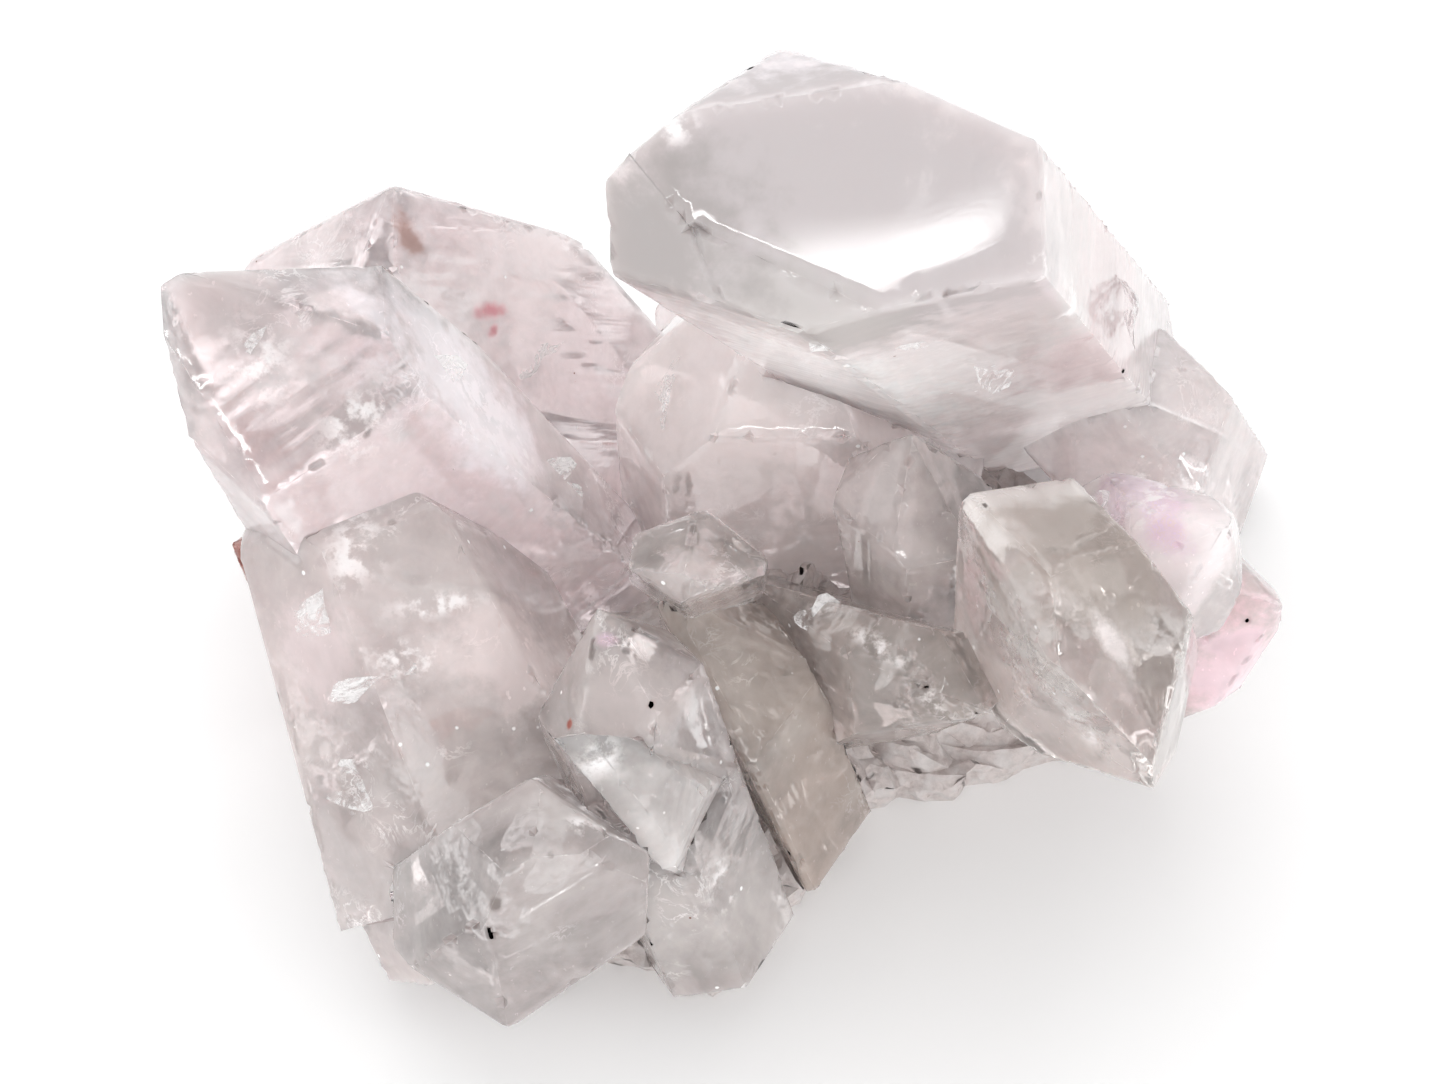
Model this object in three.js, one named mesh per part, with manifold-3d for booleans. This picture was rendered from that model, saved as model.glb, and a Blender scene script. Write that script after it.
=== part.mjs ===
// Quartz crystal cluster: a rough stone base carrying leaning six-sided quartz crystals.
// Millimetres, +Z up. The cluster rests on the floor plane z = 0 and the origin is the
// middle of its bounding box at floor level.
import * as THREE from "three";
import { ConvexGeometry } from "three/addons/geometries/ConvexGeometry.js";
import { mergeVertices } from "three/addons/utils/BufferGeometryUtils.js";
import Module from "manifold-3d";

const wasm = await Module();
wasm.setup();

// Clearance left between a crystal and the neighbour that grows into it.
const SEAM = 0.3;
// Slope of a quartz cap face, measured up from the side face below it.
const CAP_SLOPE = 38;
// Rough stone base: height at its middle, height of its broken rim, lump height.
const BASE_TOP = 14;
const BASE_RIM = 4;
const BASE_LUMP = 2.2;
const BASE_CENTRE = [6, 2];
// Reach of the base from its centre every 20 degrees, starting to the right (+X).
const BASE_REACH = [46, 46, 50, 52, 50, 48, 46, 44, 42, 42, 42, 44, 42, 40, 26, 20, 24, 34];
const BASE_RINGS = 12;
const BASE_SPOKES = 72;

// A crystal of regular habit: six side faces 60 degrees apart, a cap face above each.
function regular(turn, reach, setBack) {
  return {
    sides: reach.map((r, i) => [turn + 60 * i, 0, r]),
    caps: setBack.map((s, i) => [turn + 60 * i, CAP_SLOPE, s]),
  };
}

// Each crystal: tip point, heading it leans toward (0 = front, 90 = right), lean above the
// floor, length from tip to root, and its faces. A face is [bearing about the long axis,
// slope toward the tip, distance]: side faces are measured out from the long axis, cap
// faces back from the tip along it. A crystal listed later gives way to those before it.
const CRYSTALS = {
  // The largest crystal, leaning forward and left over the others; one broad cap face and
  // a bevelled corner below it.
  great_crystal: {
    tip: [-4.5, -9, 92], heading: 309, lean: 51, length: 122, colour: 0xd9d0d3,
    sides: [[141, -10, 16], [217, -7, 26], [282, 9, 9], [341, -4, 17], [17, 14, 3], [110, -4, 11]],
    caps: [[171, 46, -3.5], [289, 48, -2], [342, 35, 1], [114, 35, -7]],
    bevel: [145.5, 35.5, 4.5],
  },
  // Stubby crystal at the front left corner.
  front_crystal: {
    tip: [-20, -45, 37], heading: 0, lean: 57, length: 34, colour: 0xb9b1af,
    sides: [[178, -3, 13.5], [237, 1, 10], [301, -1, 8.5], [1, 0, 13.5], [59, 0, 12.5], [124, 0, 11]],
    caps: [[180, 38, -6], [241, 38, -6], [300, 38, -2], [3, 37, 2], [59, 39, 1.5], [122, 39, 3]],
  },
  // Small crystal wedged behind the front crystal.
  small_front_crystal: {
    tip: [-7, -32, 37], heading: 338, lean: 68, length: 26, colour: 0xc0b8b6,
    sides: [[116, 0, 7.5], [176, -1, 4.5], [231, 19, 1.5], [297, -1, 3.5], [356, 1, 10], [56, -1, 4.5]],
    caps: [[116, 38, -1.5], [176, 38, 1], [240, 21, -6]],
  },
  // Small crystal pointing up and forward from the middle of the cluster.
  middle_crystal: {
    tip: [-3, -19, 53], heading: 358, lean: 58, length: 30, colour: 0xc9c0be,
    sides: [[114, 0, 3], [172, 0, 7], [232, 2, 5.5], [291, -2, 6], [354, 5, 5.5], [57, 0, 3.5]],
    caps: [[113, 38, -1], [173, 38, 0], [234, 38, 2.5], [293, 38, 2], [354, 39, -3], [53, 39, -0.5]],
  },
  // Smoky crystal reaching forward on the right, clear of the floor.
  smoky_crystal: {
    tip: [40, -27, 40], heading: 21, lean: 1, length: 22, colour: 0xb4a9a7,
    sides: [[259, -2, 11], [319, 7, 12], [6, 0, 9], [76, -1, 15], [136, 0, 13], [207, -7, 9.5]],
    caps: [[252, 33, -4.5], [15, 27, -10.5], [76, 40, -11], [196, 45, -2.5]],
  },
  // Upper left crystal, its cap broad and flattened.
  upper_left_crystal: {
    tip: [-45, -2, 67], heading: 302, lean: 70, length: 68, colour: 0xe0d2d4,
    sides: [[182, 4, 6], [247, 9, 9], [302, -1, 18], [2, 0, 5], [53, 15, 6], [110, 11, 8]],
    caps: [[186, 34, 4.5], [247, 45, -0.5], [304, 47, -5], [130, 31, -4.5]],
  },
  // Long crystal on the left, leaning back from the front foot of the cluster.
  left_crystal: {
    tip: [-40, 6, 43], heading: 209, lean: 36, length: 48, colour: 0xcdc3c2,
    sides: [[216, 2, 12], [274, 1, 9.5], [330, 6, 7.5], [34, 1, 17.5], [94, 0, 16], [154, 10, 12]],
    caps: [[213, 39, -8.5], [273, 39, -1], [342, 34, 0.5]],
  },
  // Iridescent crystal on the right, behind the smoky one.
  iridescent_crystal: {
    tip: [49, -10, 47], heading: 30, lean: 61, length: 36, colour: 0xe0d8d8,
    sides: [[146, 0, 8], [205, 0, 5.5], [265, 0, 10.5], [325, 0, 6], [25, 0, 7], [83, 0, 9.5]],
    caps: [[148, 39, -1], [205, 38, -2], [265, 38, 0], [325, 38, 0], [25, 38, 0], [85, 38, 0]],
  },
  // Crystal at the far right end.
  far_right_crystal: {
    tip: [60, -8, 32], heading: 36, lean: 53, length: 36, colour: 0xe2cbcf,
    ...regular(151, [3.5, 8.5, 12, 14, 12, 9], [0, 0, 0, 0, 0, 0]),
  },
  // Flattened crystal pointing right, under the smoky one.
  flat_crystal: {
    tip: [27, -21, 31], heading: 33, lean: 21, length: 44, colour: 0xb5abaa,
    sides: [[175, 2, 4], [233, -13, 7], [295, 0, 9], [355, 0, 9], [58, -11, 17], [112, 5, 6.5]],
    caps: [[175, 39, -2.5], [235, 38, 0], [295, 38, 0], [355, 38, 0], [55, 38, 0], [113, 36, -0.5]],
  },
  // Grey crystal standing upright under the great one.
  grey_crystal: {
    tip: [20, 4, 46], heading: 246, lean: 85, length: 36, colour: 0xa9a09f,
    sides: [[215, -1, 9], [276, -8, 10.5], [335, 0, 8], [35, 0, 8], [95, -7, 9], [156, -4, 8]],
    caps: [[215, 38, 0], [275, 38, 0.5], [335, 38, 0], [35, 38, 0], [95, 39, -1.5], [155, 38, 0]],
  },
  // Crystal grown against the foot of the great one, at the back right.
  great_foot_crystal: {
    tip: [42, 24, 37], heading: 309, lean: 51, length: 46, colour: 0xe0d3d6,
    ...regular(141, [14, 14, 11, 11, 11, 12], [0, 0, 0, 0, 0, 0]),
  },
  // Two columns standing side by side on the front edge.
  front_column: {
    tip: [-12, -18, 45], heading: 222, lean: 66, length: 45, colour: 0xbdb5b3,
    ...regular(228, [9, 7, 7, 9, 9, 9], [0, 0, 0, 0, 0, 0]),
  },
  middle_column: {
    tip: [-6, -9, 36], heading: 239, lean: 68, length: 37, colour: 0xa69991,
    ...regular(206, [12, 11.5, 10, 11, 11, 1.5], [0, 0, 0, 0, 0, 0]),
  },
  // Low crystal against the outside of the left one.
  left_foot_crystal: {
    tip: [-38, -17, 26], heading: 214, lean: 44, length: 28, colour: 0xc7b9b9,
    ...regular(261, [8, 9, 9, 9, 9, 9], [0, 0, 0, 0, 0, 0]),
  },
  // Broad pinkish crystal standing upright at the back left.
  back_crystal: {
    tip: [-37, 35, 55], heading: 243, lean: 89, length: 54, colour: 0xe6d6dc,
    sides: [[203, 0, 16], [263, 0, 33], [324, -1, 31], [23, 0, 12], [83, 0, 22], [143, 1, 23]],
    caps: [[203, 46, -0.5], [262, 29, 0], [325, 53, 0.5], [23, 38, 0], [77, 54, 0], [147, 46, -1]],
  },
  // Upright crystal filling the middle, under the great one.
  core_crystal: {
    tip: [7, 25, 56], heading: 0, lean: 90, length: 55, colour: 0xe2d5d6,
    ...regular(90, [14, 19, 16, 12, 16, 19], [0, 0, 0, 0, 0, 0]),
  },
  // Slim red-stained crystal peeping out at the left.
  red_crystal: {
    tip: [-57, 5, 27], heading: 290, lean: 49, length: 30, colour: 0x9a5a4c,
    ...regular(154, [4, 4, 4, 4, 4, 4], [0, 0, 0, 0, 0, 0]),
  },
  // Three crystals closing the back of the cluster.
  rear_left_crystal: {
    tip: [-34, 60, 33], heading: 200, lean: 42, length: 44, colour: 0xdccfd0,
    ...regular(20, [12, 10, 12, 11, 12, 10], [0, 1, 0, 2, 0, 1]),
  },
  rear_middle_crystal: {
    tip: [0, 62, 30], heading: 184, lean: 38, length: 40, colour: 0xd3c8c8,
    ...regular(45, [9, 8, 9, 10, 8, 9], [1, 0, 2, 0, 1, 0]),
  },
  rear_right_crystal: {
    tip: [30, 60, 44], heading: 165, lean: 50, length: 48, colour: 0xd0c5c6,
    ...regular(10, [12, 10, 11, 12, 9, 11], [0, 2, 0, 1, 0, 3]),
  },
};

// Long axis of a crystal and the two directions square to it that its bearings start from.
function axesOf(c) {
  const a = THREE.MathUtils.degToRad(c.heading);
  const l = THREE.MathUtils.degToRad(c.lean);
  const axis = new THREE.Vector3(Math.sin(a) * Math.cos(l), -Math.cos(a) * Math.cos(l), Math.sin(l));
  const across = new THREE.Vector3(-Math.cos(a), -Math.sin(a), 0);
  return [axis, across, new THREE.Vector3().crossVectors(axis, across)];
}

// Face planes of a crystal as outward normals and distances, all moved out by grow.
function planesOf(c, grow) {
  const [axis, across, up] = axesOf(c);
  const tip = new THREE.Vector3(...c.tip);
  const normal = (bearing, slope) => {
    const b = THREE.MathUtils.degToRad(bearing);
    const s = THREE.MathUtils.degToRad(slope);
    return new THREE.Vector3()
      .addScaledVector(across, Math.cos(b) * Math.cos(s))
      .addScaledVector(up, Math.sin(b) * Math.cos(s))
      .addScaledVector(axis, Math.sin(s));
  };
  const planes = [];
  for (const [bearing, slope, reach] of c.sides) {
    const n = normal(bearing, slope);
    planes.push({ n, d: n.dot(tip) + reach + grow });
  }
  if (c.bevel) {
    const n = normal(c.bevel[0], c.bevel[1]);
    planes.push({ n, d: n.dot(tip) + c.bevel[2] + grow });
  }
  for (const [bearing, slope, setBack] of c.caps) {
    const n = normal(bearing, slope);
    planes.push({ n, d: n.dot(tip) - Math.sin(THREE.MathUtils.degToRad(slope)) * setBack + grow });
  }
  const root = axis.clone().negate();
  planes.push({ n: root, d: root.dot(tip) + c.length + grow });
  planes.push({ n: new THREE.Vector3(0, 0, -1), d: grow });
  return planes;
}

// Corners of the solid inside a set of planes: every meeting of three planes that lies
// inside all the others.
function cornersOf(planes) {
  const corners = [];
  for (let i = 0; i < planes.length; i++) {
    for (let j = i + 1; j < planes.length; j++) {
      for (let k = j + 1; k < planes.length; k++) {
        const [a, b, c] = [planes[i], planes[j], planes[k]];
        const bc = new THREE.Vector3().crossVectors(b.n, c.n);
        const det = a.n.dot(bc);
        if (Math.abs(det) < 1e-4) continue;
        const p = bc.multiplyScalar(a.d)
          .addScaledVector(new THREE.Vector3().crossVectors(c.n, a.n), b.d)
          .addScaledVector(new THREE.Vector3().crossVectors(a.n, b.n), c.d)
          .divideScalar(det);
        const inside = planes.every((q) => q.n.dot(p) <= q.d + 1e-6);
        if (inside && corners.every((q) => q.distanceTo(p) > 0.02)) corners.push(p);
      }
    }
  }
  return corners;
}

function solidOf(geometry) {
  const bare = new THREE.BufferGeometry();
  bare.setAttribute("position", geometry.getAttribute("position"));
  if (geometry.index) bare.setIndex(geometry.index);
  const merged = mergeVertices(bare, 1e-3);
  const mesh = new wasm.Mesh({
    numProp: 3,
    vertProperties: new Float32Array(merged.getAttribute("position").array),
    triVerts: new Uint32Array(merged.index.array),
  });
  return new wasm.Manifold(mesh);
}

function crystalSolid(c, grow) {
  return solidOf(new ConvexGeometry(cornersOf(planesOf(c, grow))));
}

// Height of the lumps on the broken stone.
function lump(x, y) {
  return Math.sin(x * 0.41 + 1.3) * Math.cos(y * 0.37 - 0.6)
    + 0.6 * Math.sin(x * 0.83 - y * 0.71)
    + 0.4 * Math.cos(x * 1.37 + y * 1.53 + 0.8);
}

// Rough stone base: a low lumpy mound with a broken rim and a flat underside.
function baseSolid() {
  const points = [];
  const faces = [];
  const reachAt = (turn) => {
    const t = (turn / (2 * Math.PI)) * BASE_REACH.length;
    const i = Math.floor(t) % BASE_REACH.length;
    const f = t - Math.floor(t);
    const jag = 1.1 * Math.sin(turn * 17) + 0.8 * Math.cos(turn * 29);
    return BASE_REACH[i] * (1 - f) + BASE_REACH[(i + 1) % BASE_REACH.length] * f + jag;
  };
  for (let ring = 0; ring <= BASE_RINGS; ring++) {
    const f = ring / BASE_RINGS;
    for (let spoke = 0; spoke < BASE_SPOKES; spoke++) {
      const turn = (2 * Math.PI * spoke) / BASE_SPOKES;
      const x = BASE_CENTRE[0] + Math.cos(turn) * reachAt(turn) * f;
      const y = BASE_CENTRE[1] + Math.sin(turn) * reachAt(turn) * f;
      const mound = BASE_RIM + (BASE_TOP - BASE_RIM) * Math.cos((f * Math.PI) / 2) ** 0.8;
      points.push(x, y, Math.max(2, mound + BASE_LUMP * lump(x, y)));
      if (ring === 0) break;
    }
  }
  const at = (ring, spoke) => (ring === 0 ? 0 : 1 + (ring - 1) * BASE_SPOKES + (spoke % BASE_SPOKES));
  for (let spoke = 0; spoke < BASE_SPOKES; spoke++) {
    faces.push(0, at(1, spoke), at(1, spoke + 1));
    for (let ring = 1; ring < BASE_RINGS; ring++) {
      faces.push(at(ring, spoke), at(ring + 1, spoke), at(ring + 1, spoke + 1));
      faces.push(at(ring, spoke), at(ring + 1, spoke + 1), at(ring, spoke + 1));
    }
  }
  const floorStart = points.length / 3;
  for (let spoke = 0; spoke < BASE_SPOKES; spoke++) {
    const rim = at(BASE_RINGS, spoke);
    const shrink = 0.97;
    points.push(
      BASE_CENTRE[0] + (points[3 * rim] - BASE_CENTRE[0]) * shrink,
      BASE_CENTRE[1] + (points[3 * rim + 1] - BASE_CENTRE[1]) * shrink,
      0,
    );
  }
  const hub = points.length / 3;
  points.push(BASE_CENTRE[0], BASE_CENTRE[1], 0);
  for (let spoke = 0; spoke < BASE_SPOKES; spoke++) {
    const low = floorStart + spoke;
    const lowNext = floorStart + ((spoke + 1) % BASE_SPOKES);
    faces.push(at(BASE_RINGS, spoke), low, lowNext);
    faces.push(at(BASE_RINGS, spoke), lowNext, at(BASE_RINGS, spoke + 1));
    faces.push(hub, lowNext, low);
  }
  const geometry = new THREE.BufferGeometry();
  geometry.setAttribute("position", new THREE.Float32BufferAttribute(points, 3));
  geometry.setIndex(faces);
  return solidOf(geometry);
}

// The largest connected body of a mesh, so that no crumb cut off by a neighbour remains.
function largestBody(mesh) {
  const owner = Array.from({ length: mesh.vertProperties.length / 3 }, (_, i) => i);
  const find = (i) => {
    while (owner[i] !== i) {
      owner[i] = owner[owner[i]];
      i = owner[i];
    }
    return i;
  };
  const tris = mesh.triVerts;
  for (let t = 0; t < tris.length; t += 3) {
    owner[find(tris[t])] = find(tris[t + 1]);
    owner[find(tris[t + 1])] = find(tris[t + 2]);
  }
  const size = new Map();
  const corner = (i) => new THREE.Vector3().fromArray(mesh.vertProperties, 3 * i);
  for (let t = 0; t < tris.length; t += 3) {
    const [a, b, c] = [corner(tris[t]), corner(tris[t + 1]), corner(tris[t + 2])];
    const volume = a.dot(b.cross(c)) / 6;
    const key = find(tris[t]);
    size.set(key, (size.get(key) ?? 0) + volume);
  }
  const [keep] = [...size.entries()].sort((a, b) => b[1] - a[1])[0];
  const index = [];
  for (let t = 0; t < tris.length; t += 3) {
    if (find(tris[t]) === keep) index.push(tris[t], tris[t + 1], tris[t + 2]);
  }
  const geometry = new THREE.BufferGeometry();
  geometry.setAttribute("position", new THREE.Float32BufferAttribute(mesh.vertProperties, 3));
  geometry.setIndex(index);
  return mergeVertices(geometry, 1e-4);
}

function addPart(group, name, solid, material) {
  const flat = largestBody(solid.getMesh()).toNonIndexed();
  flat.computeVertexNormals();
  const mesh = new THREE.Mesh(flat, material);
  mesh.name = name;
  group.add(mesh);
}

const cluster = new THREE.Group();
cluster.name = "quartz_cluster";
const grown = [];
for (const [name, c] of Object.entries(CRYSTALS)) {
  let solid = crystalSolid(c, 0);
  for (const neighbour of grown) solid = solid.subtract(neighbour);
  addPart(cluster, name, solid, new THREE.MeshStandardMaterial({
    color: c.colour,
    roughness: 0.12,
    metalness: 0,
  }));
  grown.push(crystalSolid(c, SEAM));
}
let base = baseSolid();
for (const neighbour of grown) base = base.subtract(neighbour);
addPart(cluster, "stone_base", base, new THREE.MeshStandardMaterial({
  color: 0xbdb0ab,
  roughness: 0.8,
  metalness: 0,
}));

// Set the cluster on the origin: middle of the bounding box in plan, lowest point at z = 0.
const bounds = new THREE.Box3().setFromObject(cluster);
const middle = bounds.getCenter(new THREE.Vector3());
for (const part of cluster.children) part.geometry.translate(-middle.x, -middle.y, -bounds.min.z);

export default cluster;
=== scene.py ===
"""A natural cluster of quartz crystals on a piece of rough stone, in metres, +Z up."""
import math

import bmesh
import bpy
import numpy as np
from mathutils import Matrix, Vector
from mathutils.bvhtree import BVHTree
from mathutils.geometry import delaunay_2d_cdt


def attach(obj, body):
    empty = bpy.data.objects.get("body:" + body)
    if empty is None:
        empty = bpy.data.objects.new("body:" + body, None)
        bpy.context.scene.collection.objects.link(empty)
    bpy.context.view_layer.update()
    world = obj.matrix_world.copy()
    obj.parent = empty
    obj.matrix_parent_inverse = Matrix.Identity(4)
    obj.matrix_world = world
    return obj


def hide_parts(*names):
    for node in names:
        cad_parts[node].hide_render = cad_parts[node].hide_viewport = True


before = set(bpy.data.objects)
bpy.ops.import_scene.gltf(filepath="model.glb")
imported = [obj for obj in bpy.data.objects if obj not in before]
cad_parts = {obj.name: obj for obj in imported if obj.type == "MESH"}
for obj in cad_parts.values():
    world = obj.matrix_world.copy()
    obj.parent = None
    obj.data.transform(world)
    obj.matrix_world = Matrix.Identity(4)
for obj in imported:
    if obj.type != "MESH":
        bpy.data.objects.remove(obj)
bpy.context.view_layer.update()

MM = 0.001

# ---------------------------------------------------------------------------------------
# Camera, lamps and table. The cluster stands on a white table under a large soft ceiling
# light, with weak fills around it. The curved band of light on a lamp in front is mirrored
# across the great crystal's upper face.
# ---------------------------------------------------------------------------------------
VIEW_DOWN = math.radians(50)
VIEW_DISTANCE = 154.5 * MM
VIEW_TARGET = Vector((-7.2, -6.8, 33.0)) * MM

camera_data = bpy.data.cameras.new("camera")
camera_data.lens = 35
camera_data.sensor_width = 36
camera_data.clip_start = 5 * MM
camera = bpy.data.objects.new("camera", camera_data)
camera.location = VIEW_TARGET + VIEW_DISTANCE * Vector((0, -math.cos(VIEW_DOWN), math.sin(VIEW_DOWN)))
camera.rotation_euler = (math.pi / 2 - VIEW_DOWN, 0, 0)
bpy.context.collection.objects.link(camera)
bpy.context.scene.camera = camera
bpy.context.scene.view_settings.view_transform = "Standard"


class Value:
    """One shader value; arithmetic on it adds the Math nodes that work it out."""

    def __init__(self, socket):
        self.socket = socket

    def maths(self, operation, first, second):
        node = self.socket.id_data.nodes.new("ShaderNodeMath")
        node.operation = operation
        for place, value in zip(node.inputs, (first, second)):
            feed(place, value)
        return Value(node.outputs[0])

    def __add__(self, other):
        return self.maths("ADD", self, other)

    __radd__ = __add__

    def __sub__(self, other):
        return self.maths("SUBTRACT", self, other)

    def __rsub__(self, other):
        return self.maths("SUBTRACT", other, self)

    def __mul__(self, other):
        return self.maths("MULTIPLY", self, other)

    __rmul__ = __mul__

    def __truediv__(self, other):
        return self.maths("DIVIDE", self, other)

    def __pow__(self, other):
        return self.maths("POWER", self, other)

    def __abs__(self):
        return self.maths("ABSOLUTE", self, 0.0)


def feed(place, value):
    """Links a shader value to a node's socket, or sets the socket to a plain value."""
    if isinstance(value, Value):
        place.id_data.links.new(value.socket, place)
    else:
        place.default_value = value


class Finish:
    """The nodes of a material, lamp or room, and the one method that adds a node to them."""

    def __init__(self, owner):
        self.owner = owner
        owner.use_nodes = True
        self.tree = owner.node_tree
        self.tree.nodes.clear()

    def add(self, kind, settings=None, output=0, **values):
        """Adds a node: its settings first, then the values or links of its sockets, which
        are named, or numbered as _0, _1 and so on."""
        node = self.tree.nodes.new("ShaderNode" + kind)
        for key, setting in (settings or {}).items():
            setattr(node, key, setting)
        for key, value in values.items():
            numbered = key[1:].isdigit()
            feed(node.inputs[int(key[1:]) if numbered else key.replace("_", " ")], value)
        return Value(node.outputs[output]) if node.outputs else None

    def noise(self, where, size, detail=3.0, rough=0.5, twist=0.0):
        """Cloudy noise, 0 to 1, whose lumps are about size millimetres across."""
        return self.add("TexNoise", Vector=where, Scale=1 / (size * MM), Detail=detail,
                        Roughness=rough, Distortion=twist)

    def step(self, value, low, high):
        """0 below low, 1 above high, and smooth between them."""
        return self.add("MapRange", {"interpolation_type": "SMOOTHSTEP"}, Value=value,
                        From_Min=low, From_Max=high)

    def blend(self, share, first, second):
        """A colour that goes from first to second as share goes from 0 to 1."""
        return self.add("Mix", {"data_type": "RGBA"}, 2, _0=share, _6=first, _7=second)

    def vector(self, operation, first, second, output=0):
        return self.add("VectorMath", {"operation": operation}, output, _0=first, _1=second)

    def near(self, where, centre, reach, along=(0, 0, 1), stretch=1.0, ragged=0.0):
        """1 at a place in the crystal and 0 past its reach in millimetres. Distances are
        shortened by stretch in the direction along, and its rim is broken up by ragged."""
        gap = self.vector("SUBTRACT", where, tuple(c * MM for c in centre))
        way = tuple(Vector(along).normalized())
        run = self.vector("DOT_PRODUCT", gap, way, 1)
        whole = self.vector("DOT_PRODUCT", gap, gap, 1)
        gap = (whole - run * run * (1 - 1 / stretch ** 2)) ** 0.5
        return 1 - self.step(gap / (reach * MM) + ragged, 0.35, 1.0)


def soft_lamp(name, place, aim, size, power):
    """A rectangular studio lamp, sizes in millimetres, turned to face a point."""
    data = bpy.data.lights.new(name, "AREA")
    data.shape = "RECTANGLE"
    data.size, data.size_y = size[0] * MM, size[1] * MM
    data.energy = power
    lamp = bpy.data.objects.new(name, data)
    lamp.location = Vector(place) * MM
    lamp.rotation_euler = (Vector(aim) * MM - lamp.location).to_track_quat("-Z", "Y").to_euler()
    bpy.context.collection.objects.link(lamp)
    return lamp


soft_lamp("ceiling_light", (-60, 300, 560), (0, 0, 30), (700, 460), 1.5)
soft_lamp("left_light", (-480, -40, 260), (0, 0, 30), (260, 260), 0.35)

# The fills aren't mirrored in the faces. The low one casts no shadow, so that some light
# reaches the gaps between the crystals, as light spreading inside the quartz would.
for side, place, size, power in (
        ("front", (-420, -420, 300), (300, 300), 0.12),
        ("right", (480, -200, 260), (300, 300), 0.4),
        ("low", (60, -360, 40), (460, 110), 0.35)):
    fill = soft_lamp(side + "_light", place, (0, 0, 35), size, power)
    fill.visible_glossy = False
    fill.data.use_shadow = side != "low"

STRIP_SIZE = (180, 100)
STRIP_EDGE = 11             # how far below the lamp's middle the lit band's lower edge dips
STRIP_LEFT = 20             # how far left of the lamp's middle it is lowest
STRIP_BOW = 0.0035          # how fast that edge rises to the sides
STRIP_SKEW = 0.00003        # how much faster it rises to the right
strip = soft_lamp("strip_light", (52, -386, 215), (3.6, -20.5, 88.4), STRIP_SIZE, 1.1)
glow = Finish(strip.data)
across = glow.add("SeparateXYZ", _0=glow.add("NewGeometry", output="Parametric"))
upward = Value(across.socket.node.outputs[1])
across, upward = (across - 0.5) * STRIP_SIZE[0], (upward - 0.5) * STRIP_SIZE[1]
bow = upward + STRIP_EDGE - (across + STRIP_LEFT) ** 2 * (STRIP_BOW + across * STRIP_SKEW)
band = glow.step(bow, -2, 2) * (1 - glow.step(bow, 3, 28)) ** 1.5
band = band * (1 - glow.step(across, 20, 62))
glow.add("OutputLight", _0=glow.add("Emission", Strength=band))

room = Finish(bpy.data.worlds.new("room"))
height = room.add("SeparateXYZ", None, 2, _0=room.add("TexCoord", output="Generated"))
room.add("OutputWorld", _0=room.add("Background", Strength=0.78 + 0.30 * room.step(height, -0.1, 0.9)))
bpy.context.scene.world = room.owner

TABLE_HALF = 3.0
TABLE_CORNERS = ((-1, -1), (1, -1), (1, 1), (-1, 1))
table_mesh = bpy.data.meshes.new("table")
table_mesh.from_pydata([(x * TABLE_HALF, y * TABLE_HALF, 0) for x, y in TABLE_CORNERS], [], [(0, 1, 2, 3)])
table = bpy.data.objects.new("table", table_mesh)
bpy.context.collection.objects.link(table)
paper = Finish(bpy.data.materials.new("white_table"))
paper.add("OutputMaterial", Surface=paper.add(
    "BsdfPrincipled", Base_Color=(0.94, 0.94, 0.94, 1), Roughness=0.9, Specular_IOR_Level=0.1))
table_mesh.materials.append(paper.owner)

# ---------------------------------------------------------------------------------------
# Stone base: a broken slab of coarse, whitish quartz rock that all the crystals grew from.
# Its surface is split into small sugary grains. It is joined to every crystal's root.
# ---------------------------------------------------------------------------------------
SEAM = 0.4 * MM             # faces that meet a neighbour this closely are grown onto it
FLAT = math.radians(0.5)    # packed triangles bent less than this are one facet
SHARP = math.radians(26)    # edges bent more than this stay sharp
QUARTZ_IOR = 1.544
ROCK_GRAIN = 0.8 * MM       # spacing of the points over the rock
ROCK_COLOUR = (0.84, 0.76, 0.74, 1)
ROCK_SHADE = (0.55, 0.48, 0.46, 1)


def node_facets(node):
    """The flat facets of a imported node: its merged corners, and for each facet its corner
    numbers in order and its outward normal."""
    shape = bmesh.new()
    shape.from_mesh(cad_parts[node].data)
    bmesh.ops.remove_doubles(shape, verts=shape.verts, dist=0.002 * MM)
    bmesh.ops.dissolve_limit(shape, angle_limit=FLAT, verts=shape.verts, edges=shape.edges)
    shape.verts.index_update()
    corners = np.array([v.co for v in shape.verts])
    facets = [([v.index for v in f.verts], np.array(f.normal)) for f in shape.faces]
    shape.free()
    return corners, facets


def waves(points, size, seed, count=14):
    """A smooth random height for each point, mostly between -1 and 1: a sum of plane waves
    in random directions, with lengths around size."""
    draw = np.random.default_rng(seed)
    way = draw.normal(size=(count, 3))
    way /= np.linalg.norm(way, axis=1)[:, None]
    rate = 2 * math.pi / (size * draw.uniform(0.6, 1.6, count))
    turn = draw.uniform(0, 2 * math.pi, count)
    return np.cos(points @ (way * rate[:, None]).T + turn).sum(1) / math.sqrt(count)


def within(points, outline):
    """True for each flat point inside a flat outline: a ray from it crosses an odd number
    of the outline's sides."""
    start, end = outline, np.roll(outline, -1, axis=0)
    x, y = points[:, :1], points[:, 1:]
    spans = (start[:, 1] > y) != (end[:, 1] > y)
    fall = np.where(end[:, 1] == start[:, 1], 1, end[:, 1] - start[:, 1])
    meets = start[:, 0] + (y - start[:, 1]) * (end[:, 0] - start[:, 0]) / fall
    return (spans & (x < meets)).sum(1) % 2 == 1


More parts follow.
